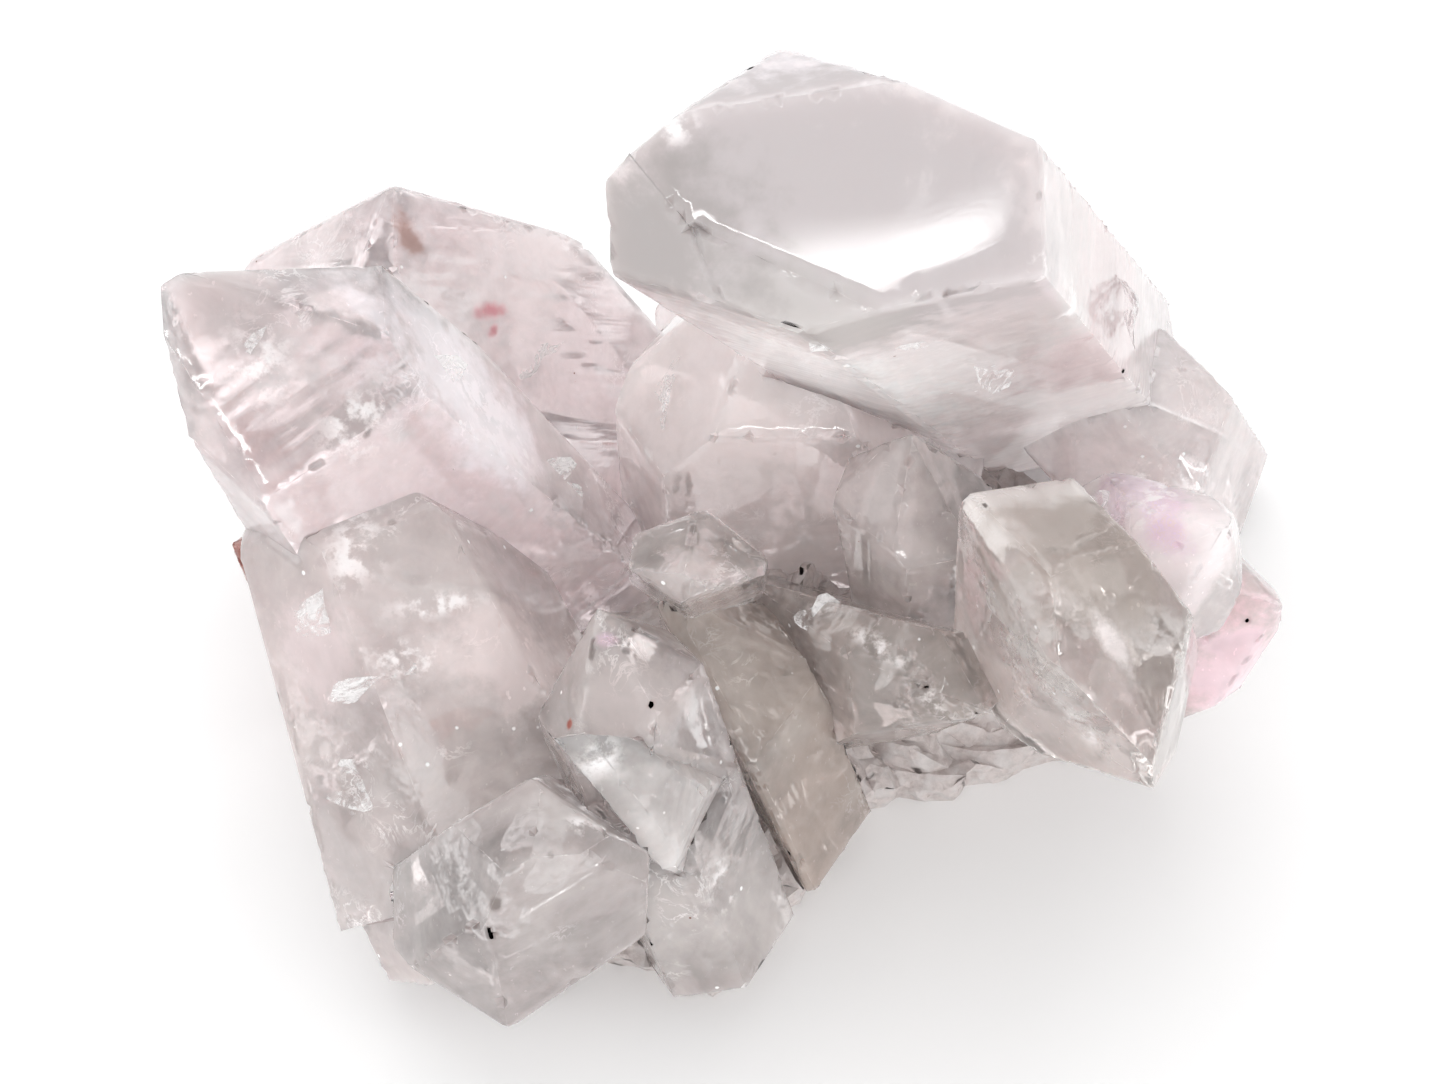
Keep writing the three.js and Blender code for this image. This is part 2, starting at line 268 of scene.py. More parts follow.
def edge_distance(points, outline):
    """Distance from each flat point to each side of a flat outline."""
    way = np.roll(outline, -1, axis=0) - outline
    gap = points[:, None, :] - outline
    share = np.clip((gap * way).sum(2) / (way * way).sum(1), 0, 1)
    return np.linalg.norm(gap - share[:, :, None] * way, axis=2)


def facet_grid(outline, normal, spacing):
    """Points over one flat facet: its edges cut into equal steps, and a grid of triangles
    inside. Returns the points, the triangles and each point's distance to each edge."""
    side = outline[1] - outline[0]
    side /= np.linalg.norm(side)
    rise = np.cross(normal, side)
    rim = []
    for start, end in zip(outline, np.roll(outline, -1, axis=0)):
        forward = tuple(start) < tuple(end)
        low, high = (start, end) if forward else (end, start)
        count = max(1, math.ceil(np.linalg.norm(high - low) / spacing))
        steps = low + (high - low) * (np.arange(count + 1) / count)[:, None]
        rim.append(steps[:-1] if forward else steps[:0:-1])
    rim = np.concatenate(rim)
    plane = np.stack([side, rise], 1)
    flat_rim, flat_outline = (rim - outline[0]) @ plane, (outline - outline[0]) @ plane
    low, high = flat_rim.min(0), flat_rim.max(0)
    across, up = np.meshgrid(np.arange(low[0], high[0], spacing),
                             np.arange(low[1], high[1], spacing * 0.87))
    across = across + (np.arange(len(across)) % 2 * spacing / 2)[:, None]
    inner = np.stack([across.ravel(), up.ravel()], 1)
    inner = inner[(edge_distance(inner, flat_outline) > spacing * 0.5).all(1) & within(inner, flat_outline)]
    places = [Vector(p) for p in np.concatenate([flat_rim, inner])]
    found, _, faces, *_ = delaunay_2d_cdt(places, [], [list(range(len(rim)))], 1, 1e-7, False)
    found, faces = np.array(found), np.array(faces)
    faces = faces[within(found[faces].mean(1), flat_outline)]
    return outline[0] + found @ plane.T, faces, edge_distance(found, flat_outline)


def joined(points, faces):
    """Merges points that share a place. Returns the first of each, the number of the
    merged point that each one became, and the faces on the merged points."""
    keys = np.round(points / (0.001 * MM)).astype(np.int64)
    _, first, same = np.unique(keys, axis=0, return_index=True, return_inverse=True)
    faces = same.ravel()[faces]
    whole = (faces != np.roll(faces, 1, axis=1)).all(1)
    return first, same.ravel(), faces[whole]


def finished_piece(name, points, faces, material, slot, *stands_for):
    """Makes a piece of the cluster from its points and triangles, smooth but for its edges."""
    mesh = bpy.data.meshes.new(name)
    mesh.from_pydata(points, [], faces)
    mesh.shade_smooth()
    mesh.set_sharp_from_angle(angle=SHARP)
    mesh.materials.append(material)
    piece = bpy.data.objects.new(name, mesh)
    bpy.context.collection.objects.link(piece)
    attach(piece, "root")
    if stands_for:
        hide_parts(*stands_for)
    return piece


def rough_rock(node):
    """The base's surface as broken grains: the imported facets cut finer, then moved along
    their normals by ridged waves, coarse and fine, and kept above the table."""
    corners, facets = node_facets(node)
    grids = [facet_grid(corners[ring], normal, ROCK_GRAIN) for ring, normal in facets]
    starts = np.cumsum([0] + [len(grid[0]) for grid in grids])
    points = np.concatenate([grid[0] for grid in grids])
    faces = np.concatenate([grid[1] + start for grid, start in zip(grids, starts)])
    normals = np.repeat([normal for _, normal in facets], np.diff(starts), axis=0)
    first, same, faces = joined(points, faces)
    outward = np.zeros((len(first), 3))
    np.add.at(outward, same, normals)
    outward /= np.maximum(np.linalg.norm(outward, axis=1), 0.2)[:, None]
    points = points[first]
    broken = 0.9 * (1 - 2 * np.abs(waves(points, 6 * MM, 5)))
    broken = broken + 0.5 * (1 - 2 * np.abs(waves(points, 2.6 * MM, 6)))
    moved = points + outward * (0.2 * MM + 0.35 * MM * np.clip(broken, -1.4, 0.8))[:, None]
    lowest = points[:, 2] < 0.01 * MM
    moved[lowest] = points[lowest]
    moved[:, 2] = np.maximum(moved[:, 2], 0)
    return moved, faces


rock = Finish(bpy.data.materials.new("host_rock"))
rock_place = rock.add("TexCoord", output="Object")
sugar = rock.noise(rock_place, 1.1, 6, 0.7)
grains = rock.add("TexVoronoi", Vector=rock_place, Scale=1 / (1.6 * MM))
rock_tone = rock.blend(rock.step(sugar * 0.6 + rock.noise(rock_place, 9, 3) * 0.4, 0.36, 0.62),
                       ROCK_SHADE, ROCK_COLOUR)
rock_tone = rock.blend(rock.step(grains, 0.35, 0.8) * 0.5, rock_tone, (0.80, 0.77, 0.76, 1))
rock.add("OutputMaterial", Surface=rock.add(
    "BsdfPrincipled", Base_Color=rock_tone, Roughness=0.30 + 0.4 * sugar,
    Transmission_Weight=0.25, IOR=QUARTZ_IOR,
    Normal=rock.add("Bump", Strength=0.7, Distance=0.4 * MM, Height=sugar * 0.6 + grains * 0.5)))
finished_piece("stone_base_rock", *rough_rock("stone_base"), rock.owner, "host_rock", "stone_base")

# ---------------------------------------------------------------------------------------
# Great crystal, upper right: the largest, cloudy and faintly pink, with broad glossy end
# faces. It grew towards the upper left, and a lower companion shares its foot.
# ---------------------------------------------------------------------------------------
CRYSTAL_GRAIN = 0.7 * MM    # spacing of the points over a crystal's faces
HARDLY_BENT = math.cos(math.radians(8))     # an edge between such facets isn't worn
END_FACE = 0.45             # end faces look along the crystal by more than this
NIBBLE = 2.5 * MM           # size of the nibbles along the edges
HILL, LONG_HILL, CROSS_STEP = 26 * MM, 30 * MM, 9 * MM
# White of the feathers in the quartz; the same white also paints glints and worn edges.
FEATHER_AND_GLINT_WHITE = (0.90, 0.87, 0.87, 1)
IRON_SPECK = (0.16, 0.07, 0.05, 1)
GREENISH_HAZE = (0.80, 0.79, 0.76, 1)
DARK_SCRATCH = (0.42, 0.38, 0.37, 1)


def growth_axis(heading, lean):
    """The direction of a crystal's length: heading 0 leans to the front, 90 to the right."""
    turn, rise = math.radians(heading), math.radians(lean)
    return np.array((math.sin(turn) * math.cos(rise), -math.cos(turn) * math.cos(rise), math.sin(rise)))


def neighbour_tree(node):
    """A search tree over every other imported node, to tell which faces touch a neighbour."""
    points, faces = [], []
    for name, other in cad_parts.items():
        if name != node:
            start = len(points)
            points += [v.co.copy() for v in other.data.vertices]
            faces += [[start + i for i in p.vertices] for p in other.data.polygons]
    return BVHTree.FromPolygons(points, faces)


def crystal_surface(node, axis, relief, wear, seed):
    """A crystal's fine surface. Every facet carries a grid of points: pressed in along its
    worn and nibbled edges, with low growth hills on end faces and cross steps on long ones.
    Facets that meet a neighbour are grown onto it. Returns points, faces and two marks."""
    corners, facets = node_facets(node)
    tree = neighbour_tree(node)

    def beside(place, reach):
        return tree.find_nearest(place)[3] < reach

    touching = [all(beside(corners[i], SEAM * 1.2) for i in ring) and beside(corners[ring].mean(0), SEAM)
                for ring, _ in facets]
    owners = {}
    for number, (ring, _) in enumerate(facets):
        for pair in zip(ring, ring[1:] + ring[:1]):
            owners.setdefault(frozenset(pair), []).append(number)
    parts = []
    total = 0
    for number, (ring, normal) in enumerate(facets):
        points, faces, gaps = facet_grid(corners[ring], normal, CRYSTAL_GRAIN)
        free = []
        for pair in zip(ring, ring[1:] + ring[:1]):
            others = [n for n in owners[frozenset(pair)] if n != number]
            bent = [n for n in others if facets[n][1] @ normal < HARDLY_BENT and not touching[n]]
            free.append(bool(bent))
        gap = np.where(free, gaps, 1.0).min(1)
        end_face = abs(normal @ axis) > END_FACE
        if touching[number]:
            lift = np.full(len(points), 0.85 * SEAM)
            gap[:] = 1.0
        else:
            inside = np.clip(gaps.min(1) / (3 * CRYSTAL_GRAIN), 0, 1)
            nibble = np.clip(waves(points, NIBBLE, seed + 3) - 0.9, 0, 1) * 2.5
            rim = wear * (0.7 + nibble)
            lift = -0.5 * rim * np.clip(1 - gap / (2.2 * rim), 0, 1) ** 2
            if end_face:
                lift += relief * inside * waves(points, HILL, seed + number)
            else:
                along = points @ axis
                stretched = points + 3 * np.outer(along, axis)
                steps = 0.35 * waves(stretched, CROSS_STEP, seed)
                lift += relief * inside * (waves(points, LONG_HILL, seed + number) + steps)
        long_face = np.full(len(points), 1.0 - end_face)
        parts.append((points, faces + total, lift[:, None] * normal, gap, long_face))
        total += len(points)
    points, faces, moves, gap, long_face = (np.concatenate(part) for part in zip(*parts))
    first, same, faces = joined(points, faces)
    moved = points[first].copy()
    np.add.at(moved, same, moves)
    return moved, faces, {"edge_gap": gap[first], "long_face": long_face[first]}


def quartz(name, axis, clear, milk, cloud, shift, gloss=0.05, veined=0.6, lined=0.15, marks=()):
    """Quartz: glassy parts and milky parts mixed by soft clouds. clear and milk are their colours and cloud
    the milky share. Long faces carry fine cross lines, edges are worn white, thin feathers and specks lie
    in it, and tiny white flecks are painted glints. Each mark is a local spot: what it does, its colour,
    and the place, reach, direction and stretch of it in millimetres. Some marks are real stains, feathers
    and rainbow films; others are painted shade, painted light or painted glints on single faces."""
    look = Finish(bpy.data.materials.new(name))
    place = look.add("TexCoord", output="Object")
    spot = look.vector("ADD", place, (shift, 1.7 * shift, -shift))
    broad = look.noise(spot, 24, 2, 0.5, 0.5)
    soft = look.noise(spot, 8, 4, 0.55, 0.9)
    fine = look.noise(spot, 1.8, 6, 0.6)
    middle = 0.5 - 0.3 * (cloud - 0.5)
    cloudy = look.step(broad * 0.62 + soft * 0.32 + fine * 0.06, middle - 0.2, middle + 0.2)
    patchy = look.noise(spot, 11, 3)
    ridge = 1 - look.step(abs(look.noise(spot, 3.5, 5, 0.65, 0.8) - 0.5), 0.0, 0.03)
    white_streak = ridge * look.step(patchy, 0.54, 0.70) * veined
    scratch = look.noise(look.vector("MULTIPLY", spot, (1.0, 0.45, 0.6)), 0.55, 2, 0.6)
    scratch = look.step(scratch, 0.66, 0.72) * look.step(patchy, 0.58, 0.42)
    edge_gap = look.add("Attribute", {"attribute_name": "edge_gap"}, 2)
    worn = 1 - look.step(edge_gap / MM + fine * 0.6, 0.22, 0.36)
    cells = look.add("TexVoronoi", Vector=spot, Scale=1 / (2.6 * MM))
    lot = look.add("SeparateColor", _0=Value(cells.socket.node.outputs["Color"]))
    speck = (1 - look.step(cells, 0.04, 0.07)) * look.step(lot, 0.93, 0.94)
    # Painted glints: tiny white flecks that stand in for light catching small cracks.
    painted_glint = (1 - look.step(cells + fine * 0.12, 0.12, 0.17)) * (1 - look.step(lot, 0.16, 0.17))

    dimmer = tuple(c * 0.93 for c in milk[:3]) + (1,)
    milky = look.blend(look.step(fine * 0.5 + soft * 0.5, 0.38, 0.62), dimmer, milk)
    tinge = look.step(look.noise(spot, 17, 2, 0.5, 0.4), 0.42, 0.60)
    milky = look.blend(tinge * 0.22, milky, GREENISH_HAZE)
    milky = look.blend(white_streak, milky, FEATHER_AND_GLINT_WHITE)
    milky = look.blend(scratch * 0.45, milky, DARK_SCRATCH)
    milky = look.blend(painted_glint, milky, (1, 1, 1, 1))
    glassy = look.blend(cloudy * 0.4, clear, milk)
    white = white_streak * 0.8 + painted_glint + scratch * 0.5
    for kind, colour, centre, reach, along, stretch in marks:
        mask = look.near(place, centre, reach, along, stretch, (soft - 0.5) * 1.4 + (fine - 0.5) * 0.8)
        if kind == "clear":
            white = white - mask * 1.0
        # A crisp white streak: most are feathers in the quartz, some are painted glints.
        elif kind == "white_streak":
            crisp = mask * look.step(fine * 0.6 + soft * 0.4, 0.47, 0.60)
            milky = look.blend(crisp, milky, colour)
            white = white + crisp
        elif kind == "rainbow":
            hue = look.noise(spot, 2.6, 2, 0.5, 1.0) * 3.0 + look.noise(spot, 0.7, 2) * 0.6
            film = look.add("CombineColor", {"mode": "HSV"}, _0=hue, _1=0.24, _2=0.97)
            milky = look.blend(mask * 0.75, milky, film)
            glassy = look.blend(mask * 0.5, glassy, film)
        # Other kinds are patches of colour: real stains, or painted shade and painted light that set one
        # face's brightness.
        else:
            milky = look.blend(mask, milky, colour)
            glassy = look.blend(mask, glassy, colour)
            white = white + mask * 0.8
    milky = look.blend(speck, milky, IRON_SPECK)
    milky = look.blend(worn * 0.2, milky, FEATHER_AND_GLINT_WHITE)
    inner_side = look.add("NewGeometry", output="Backfacing")
    opaque = look.add("Clamp", _0=cloudy * 0.5 + 0.2 + white * 0.5 + worn * 0.15 + speck) * (1 - inner_side)

    run = look.vector("DOT_PRODUCT", place, tuple(axis), 1)
    lines = look.add("TexNoise", {"noise_dimensions": "1D"}, W=run / (0.7 * MM), Scale=1.0, Detail=4.0,
                     Roughness=0.6)
    lines = lines * look.add("Attribute", {"attribute_name": "long_face"}, 2) * look.step(broad, 0.35, 0.6)
    bump = look.add("Bump", Strength=lined, Distance=0.12 * MM,
                    Height=lines * 0.5 + fine * 0.25 + look.noise(spot, 0.45, 3) * (0.15 + worn))
    smudge = look.step(soft, 0.45, 0.75)
    glass = look.add("BsdfPrincipled", Base_Color=glassy,
                     Roughness=smudge * 0.08 + gloss * 0.5 + worn * 0.25,
                     IOR=QUARTZ_IOR, Transmission_Weight=1.0, Normal=bump)
    milk_part = look.add("BsdfPrincipled", Base_Color=milky, Roughness=smudge * 0.12 + gloss + worn * 0.25,
                         IOR=QUARTZ_IOR, Subsurface_Weight=0.8, Subsurface_Radius=(1.0, 0.9, 0.88),
                         Subsurface_Scale=4 * MM, Normal=bump)
    look.add("OutputMaterial", Surface=look.add("MixShader", _0=opaque, _1=glass, _2=milk_part))
    return look.owner


def grow(node, slot, heading, lean, seed, relief=0.04, wear=0.3, **looks):
    """Puts one crystal into the cluster, with its surface, its quartz and its place."""
    axis = growth_axis(heading, lean)
    points, faces, marks = crystal_surface(node, axis, relief * MM, wear * MM, seed)
    material = quartz(node + "_quartz", axis, shift=seed * 0.013, **looks)
    piece = finished_piece(node + "_surface", points, faces, material, slot, node)
    for name, values in marks.items():
        layer = piece.data.attributes.new(name, "FLOAT", "POINT")
        layer.data.foreach_set("value", values.astype(np.float32))
    return piece


VEIL_RINGS, VEIL_SPOKES = 10, 30
VEIL_THICKNESS = 0.05 * MM
FROST_SHADE = (0.80, 0.78, 0.78, 1)


def veil_shell(centre, facing, reach, seed):
    """One inner crack: a thin wrinkled sheet. Rings and spokes spread from its centre to a
    ragged outline, waves bend it, and its two sides meet along the rim."""
    facing = np.array(facing) / np.linalg.norm(facing)
    side = np.cross(facing, (0.3, 0.2, 0.93))
    side /= np.linalg.norm(side)
    rise = np.cross(facing, side)
    out, turn = np.meshgrid(np.linspace(0, 1, VEIL_RINGS + 1),
                            np.arange(VEIL_SPOKES) * 2 * math.pi / VEIL_SPOKES, indexing="ij")
    ring = np.cos(turn)[..., None] * side + np.sin(turn)[..., None] * rise * 0.6
    ragged = 1 + 0.3 * waves(ring.reshape(-1, 3), 0.8, seed).reshape(turn.shape)
    flat = np.array(centre) * MM + (reach * MM * out * ragged)[..., None] * ring
    bend = waves(flat.reshape(-1, 3), 7 * MM, seed + 1).reshape(turn.shape) * 0.07 * reach * MM
    half = VEIL_THICKNESS / 2 * (1 - out ** 2)
    sides = [(flat + (bend + sign * half)[..., None] * facing).reshape(-1, 3) for sign in (1, -1)]
    at = np.arange(VEIL_RINGS * VEIL_SPOKES)
    beyond = at + VEIL_SPOKES
    after = at - at % VEIL_SPOKES + (at + 1) % VEIL_SPOKES
    front = np.concatenate([np.stack([at, beyond, after + VEIL_SPOKES], 1),
                            np.stack([at, after + VEIL_SPOKES, after], 1)])
    points = np.concatenate(sides)
    first, _, faces = joined(points, np.concatenate([front, front[:, ::-1] + len(points) // 2]))
    return points[first], faces


def inner_veils(crystal, slot, seed, *sheets):
    """The white healed cracks inside one crystal, each given by its centre, the direction
    it faces and its reach in millimetres. They are frosty and broken into feathers."""
    shells = [veil_shell(*sheet, seed + 2 * number) for number, sheet in enumerate(sheets)]
    starts = np.cumsum([0] + [len(points) for points, _ in shells])
    points = np.concatenate([points for points, _ in shells])
    faces = np.concatenate([faces + start for (_, faces), start in zip(shells, starts)])
    frost = Finish(bpy.data.materials.new(crystal + "_frost"))
    place = frost.add("TexCoord", output="Object")
    broken = frost.noise(place, 1.6, 6, 0.65, 1.2) * 0.6 + frost.noise(place, 5, 3) * 0.4
    frost.add("OutputMaterial", Surface=frost.add(
        "BsdfPrincipled", Base_Color=frost.blend(broken, FROST_SHADE, (1, 1, 1, 1)), Roughness=0.2,
        Alpha=frost.step(broken, 0.44, 0.62) * 0.85))
    finished_piece(crystal + "_veils", points, faces, frost.owner, slot)


PALE_CLEAR, PALE_MILK = (0.99, 0.965, 0.97, 1), (0.91, 0.825, 0.825, 1)
RIGHT, UP = (1, 0, 0), (0, 0, 1)

grow("great_crystal", "pale_quartz", 309, 51, 11, relief=0.03, wear=0.35, clear=PALE_CLEAR, milk=PALE_MILK,
     cloud=0.85, gloss=0.04, veined=0.25, lined=0.08, marks=[
         # Painted light: whitens the small top face, standing in for the bright backdrop seen through it.
         ("stain_and_painted_shading", (0.97, 0.93, 0.97, 1), (-2, -13, 97), 9, RIGHT, 1.8),
         # Painted shade: darkens the broad upper face to the grey it shows under these lamps; the quartz
         # there is no darker than elsewhere.
         ("stain_and_painted_shading", (0.58, 0.535, 0.54, 1), (-2, -24, 84), 42, (0.01, -0.87, 0.49), 0.35),
         # Painted light: brightens the narrow lower face that lies in the shade of the crystals around it.
         ("stain_and_painted_shading", (1.0, 0.96, 0.95, 1), (5, -1, 50), 16, (0.42, 0.73, -1), 2.5),
         # Painted shade: tones down the right side, which these lamps light too brightly.
         ("stain_and_painted_shading", (0.74, 0.62, 0.625, 1), (31, 0, 60), 24, (0.92, -0.28, 0.28), 0.5),
         ("white_streak", FEATHER_AND_GLINT_WHITE, (-11, -18, 93), 2.2, RIGHT, 1.5),
         ("white_streak", FEATHER_AND_GLINT_WHITE, (16.5, -22.5, 84), 1.4, UP, 2),
         ("white_streak", FEATHER_AND_GLINT_WHITE, (22, -15, 74), 1.6, UP, 3),
         # Grey patch on the lower left of the upper face: partly its own grey, partly painted shade that
         # offsets the fill lights there.
         ("stain_and_painted_shading", (0.56, 0.53, 0.52, 1), (-1, -23, 78), 9, (1, 0.2, -0.4), 1.6),
         # Painted shade: darkens the left face, which faces the fill lights.
         ("stain_and_painted_shading", (0.44, 0.405, 0.40, 1), (-14.5, -19, 83), 15, (-0.52, -0.85, -0.03), 0.5),
     ])
inner_veils("great_crystal", "pale_quartz", 40,
            ((2, -18, 87), (0.3, -0.6, 0.7), 6), ((-6, -17, 86), (0.8, -0.2, 0.6), 5),
            ((20, -6, 62), (0.7, -0.7, 0.1), 7), ((6, -19, 74), (0.2, -0.8, -0.5), 6),
            ((33, 6, 58), (0.9, 0.1, 0.4), 8))
grow("great_foot_crystal", "pale_quartz", 309, 51, 12, clear=PALE_CLEAR, milk=PALE_MILK, cloud=0.6,
     veined=0.5, marks=[("white_streak", FEATHER_AND_GLINT_WHITE, (49, 11, 23), 6, RIGHT, 1.5)])

# ---------------------------------------------------------------------------------------
# Upper left, back and core crystals: broad, upright, with a rosy tint. The back one holds
# a healed crack stained pink by iron and a brownish band under its tip.
# ---------------------------------------------------------------------------------------
ROSY_CLEAR, ROSY_MILK = (0.99, 0.955, 0.965, 1), (0.94, 0.82, 0.83, 1)
IRON_PINK = (0.66, 0.33, 0.36, 1)
RUST = (0.50, 0.34, 0.31, 1)

grow("upper_left_crystal", "rosy_quartz", 302, 70, 13, relief=0.05, clear=ROSY_CLEAR,
     milk=(0.92, 0.805, 0.815, 1), cloud=0.5, veined=0.8, marks=[
         ("white_streak", FEATHER_AND_GLINT_WHITE, (-51, -8, 60), 5, UP, 2),
         ("white_streak", FEATHER_AND_GLINT_WHITE, (-43, -10, 54), 5, (1, 0, 1), 2),
         ("white_streak", FEATHER_AND_GLINT_WHITE, (-31, 0, 44), 5, (1, 0, -1), 3),
         # Painted reflection: a dark patch at the top left standing in for a dark reflection inside the
         # crystal.
         ("stain_and_painted_shading", (0.58, 0.52, 0.52, 1), (-53, -5, 66), 6, UP, 1.5),
         ("stain_and_painted_shading", (1.0, 0.89, 0.925, 1), (-34, 0, 50), 11, (1, 0, -1), 2),
     ])
inner_veils("upper_left_crystal", "rosy_quartz", 50,
            ((-49, -5, 60), (0.9, -0.4, 0.1), 6), ((-41, -4, 54), (0.5, -0.8, 0.5), 7),
            ((-52, -2, 57), (0.2, -0.9, 0.4), 5), ((-34, -1, 43), (0.9, 0.1, 0.6), 7),
            ((-28, 2, 32), (0.4, -0.8, 0.1), 6))
grow("back_crystal", "rosy_quartz", 243, 89, 14, clear=ROSY_CLEAR, milk=ROSY_MILK, cloud=0.65,
     veined=0.6, marks=[
         ("stain_and_painted_shading", IRON_PINK, (-35.5, 24.8, 39), 1.6, (1, 0.4, -0.2), 3),
         ("stain_and_painted_shading", IRON_PINK, (-33.5, 23.8, 38), 1.0, (1, 0.4, 0.6), 4),
         ("stain_and_painted_shading", RUST, (-43.5, 25, 50), 2.2, UP, 3),
     ])
inner_veils("back_crystal", "rosy_quartz", 60,
            ((-44, 26, 47), (1, 0, 0.1), 6), ((-36, 27, 37), (0.5, -0.7, 0.4), 7),
            ((-30, 24, 30), (0.8, -0.6, 0), 5))
grow("core_crystal", "rosy_quartz", 0, 90, 15, clear=ROSY_CLEAR, milk=(0.95, 0.85, 0.845, 1), cloud=1.0,
     veined=0.4, marks=[("white_streak", FEATHER_AND_GLINT_WHITE, (-14, 11.7, 37), 1.2, UP, 7)])
inner_veils("core_crystal", "rosy_quartz", 70,
            ((-12, 14, 37), (0.9, -0.4, 0.1), 6), ((2, 14, 40), (0.3, -0.9, 0.2), 6))

# ---------------------------------------------------------------------------------------
# Left crystal and its foot: a long, milky crystal leaning to the front left, full of white
# veils and short bright cracks that run across it.
# ---------------------------------------------------------------------------------------
MILKY_CLEAR, MILKY_MILK = (0.98, 0.955, 0.95, 1), (0.71, 0.625, 0.615, 1)
grow("left_crystal", "milky_quartz", 209, 36, 16, relief=0.06, clear=MILKY_CLEAR, milk=MILKY_MILK,
     cloud=0.6, veined=0.9, marks=[
         ("white_streak", FEATHER_AND_GLINT_WHITE, (-36, -20, 39), 2.2, (1, 0.4, -0.3), 4),
         ("white_streak", FEATHER_AND_GLINT_WHITE, (-34.5, -24, 37), 1.2, (1, 0.5, -0.1), 5),
         ("white_streak", FEATHER_AND_GLINT_WHITE, (-39, -26, 38), 3.5, (1, 0.3, -0.5), 2),
         ("white_streak", FEATHER_AND_GLINT_WHITE, (-44, -16, 43), 5, (0, 1, 0), 1.6),
         ("white_streak", FEATHER_AND_GLINT_WHITE, (-28, -20, 33), 2, (1, 1, 0), 3),
         ("stain_and_painted_shading", (0.70, 0.60, 0.60, 1), (-48, -24, 36), 8, (0, 1, -1), 3),
         ("stain_and_painted_shading", (0.80, 0.71, 0.70, 1), (-28, -22, 33), 9, (1, 0.2, -0.3), 1.5),
     ])
inner_veils("left_crystal", "milky_quartz", 80,
            ((-38, -19, 37), (0.2, -0.9, 0.2), 6), ((-35, -23, 34), (0.1, -0.8, 0.6), 5),
            ((-40, -27, 35), (0.3, -0.9, -0.1), 6), ((-44, -19, 38), (0.8, -0.4, 0.5), 6),
            ((-32, -17, 33), (0.7, 0.6, 0.2), 5), ((-42, -33, 27), (0.2, -0.6, 0.8), 5))
grow("left_foot_crystal", "milky_quartz", 214, 44, 17, clear=MILKY_CLEAR, milk=MILKY_MILK, cloud=0.6)

# ---------------------------------------------------------------------------------------
# Front crystals: the six-sided one that points at the viewer, the small faceted one above
# it, the column beside them and the small six-sided one in the middle. Greyer and clearer.
# ---------------------------------------------------------------------------------------
GREY_CLEAR, GREY_MILK = (0.975, 0.955, 0.95, 1), (0.66, 0.60, 0.59, 1)
grow("front_crystal", "grey_quartz", 0, 57, 18, clear=GREY_CLEAR, milk=(0.60, 0.545, 0.535, 1),
     cloud=0.55, veined=0.5, marks=[
         ("stain_and_painted_shading", (0.20, 0.17, 0.16, 1), (-27.5, -50.3, 34.4), 0.9, UP, 1.5),
         # Painted glints: two white streaks where light glints off small cracks.
         ("white_streak", FEATHER_AND_GLINT_WHITE, (-23, -37, 33), 2.6, RIGHT, 2.5),
         ("white_streak", FEATHER_AND_GLINT_WHITE, (-20, -43, 35.5), 2.0, RIGHT, 2),
     ])
inner_veils("front_crystal", "grey_quartz", 95,
            ((-24, -41, 31), (0.6, -0.4, 0.7), 5), ((-30, -44, 27), (-0.5, -0.6, 0.6), 5))
grow("small_front_crystal", "grey_quartz", 338, 68, 19, clear=(0.99, 0.975, 0.97, 1),
     milk=(0.95, 0.88, 0.87, 1), cloud=0.8, veined=0.9, marks=[
         ("white_streak", FEATHER_AND_GLINT_WHITE, (-18.4, -38.7, 40), 3, (1, 0, 1), 2),
     ])
grow("front_column", "grey_quartz", 222, 66, 20, clear=GREY_CLEAR, milk=GREY_MILK, cloud=0.5, veined=0.7,
     marks=[
         ("stain_and_painted_shading", (0.38, 0.10, 0.07, 1), (-21.8, -32.9, 37), 0.7, RIGHT, 1.5),
         ("stain_and_painted_shading", (0.05, 0.04, 0.04, 1), (-16.3, -28.5, 42.8), 0.6, RIGHT, 1.2),
         ("rainbow", None, (-18.3, -27.5, 43.3), 1.0, RIGHT, 1.5),
         ("white_streak", FEATHER_AND_GLINT_WHITE, (-8, -40, 20), 3, (1, -1, -1), 3),
         ("stain_and_painted_shading", (0.62, 0.56, 0.55, 1), (-15, -32.6, 41), 6, RIGHT, 1.5),
     ])
inner_veils("front_column", "grey_quartz", 102,
            ((-13, -32, 36), (0.7, -0.3, 0.6), 4), ((-9, -37, 22), (0.8, -0.4, 0.3), 5))
grow("middle_crystal", "grey_quartz", 358, 58, 21, clear=(0.985, 0.96, 0.955, 1),
     milk=(0.80, 0.71, 0.70, 1), cloud=0.4, veined=0.6)
grow("grey_crystal", "grey_quartz", 246, 85, 22, clear=GREY_CLEAR, milk=(0.70, 0.63, 0.62, 1), cloud=0.6,
     veined=0.5)

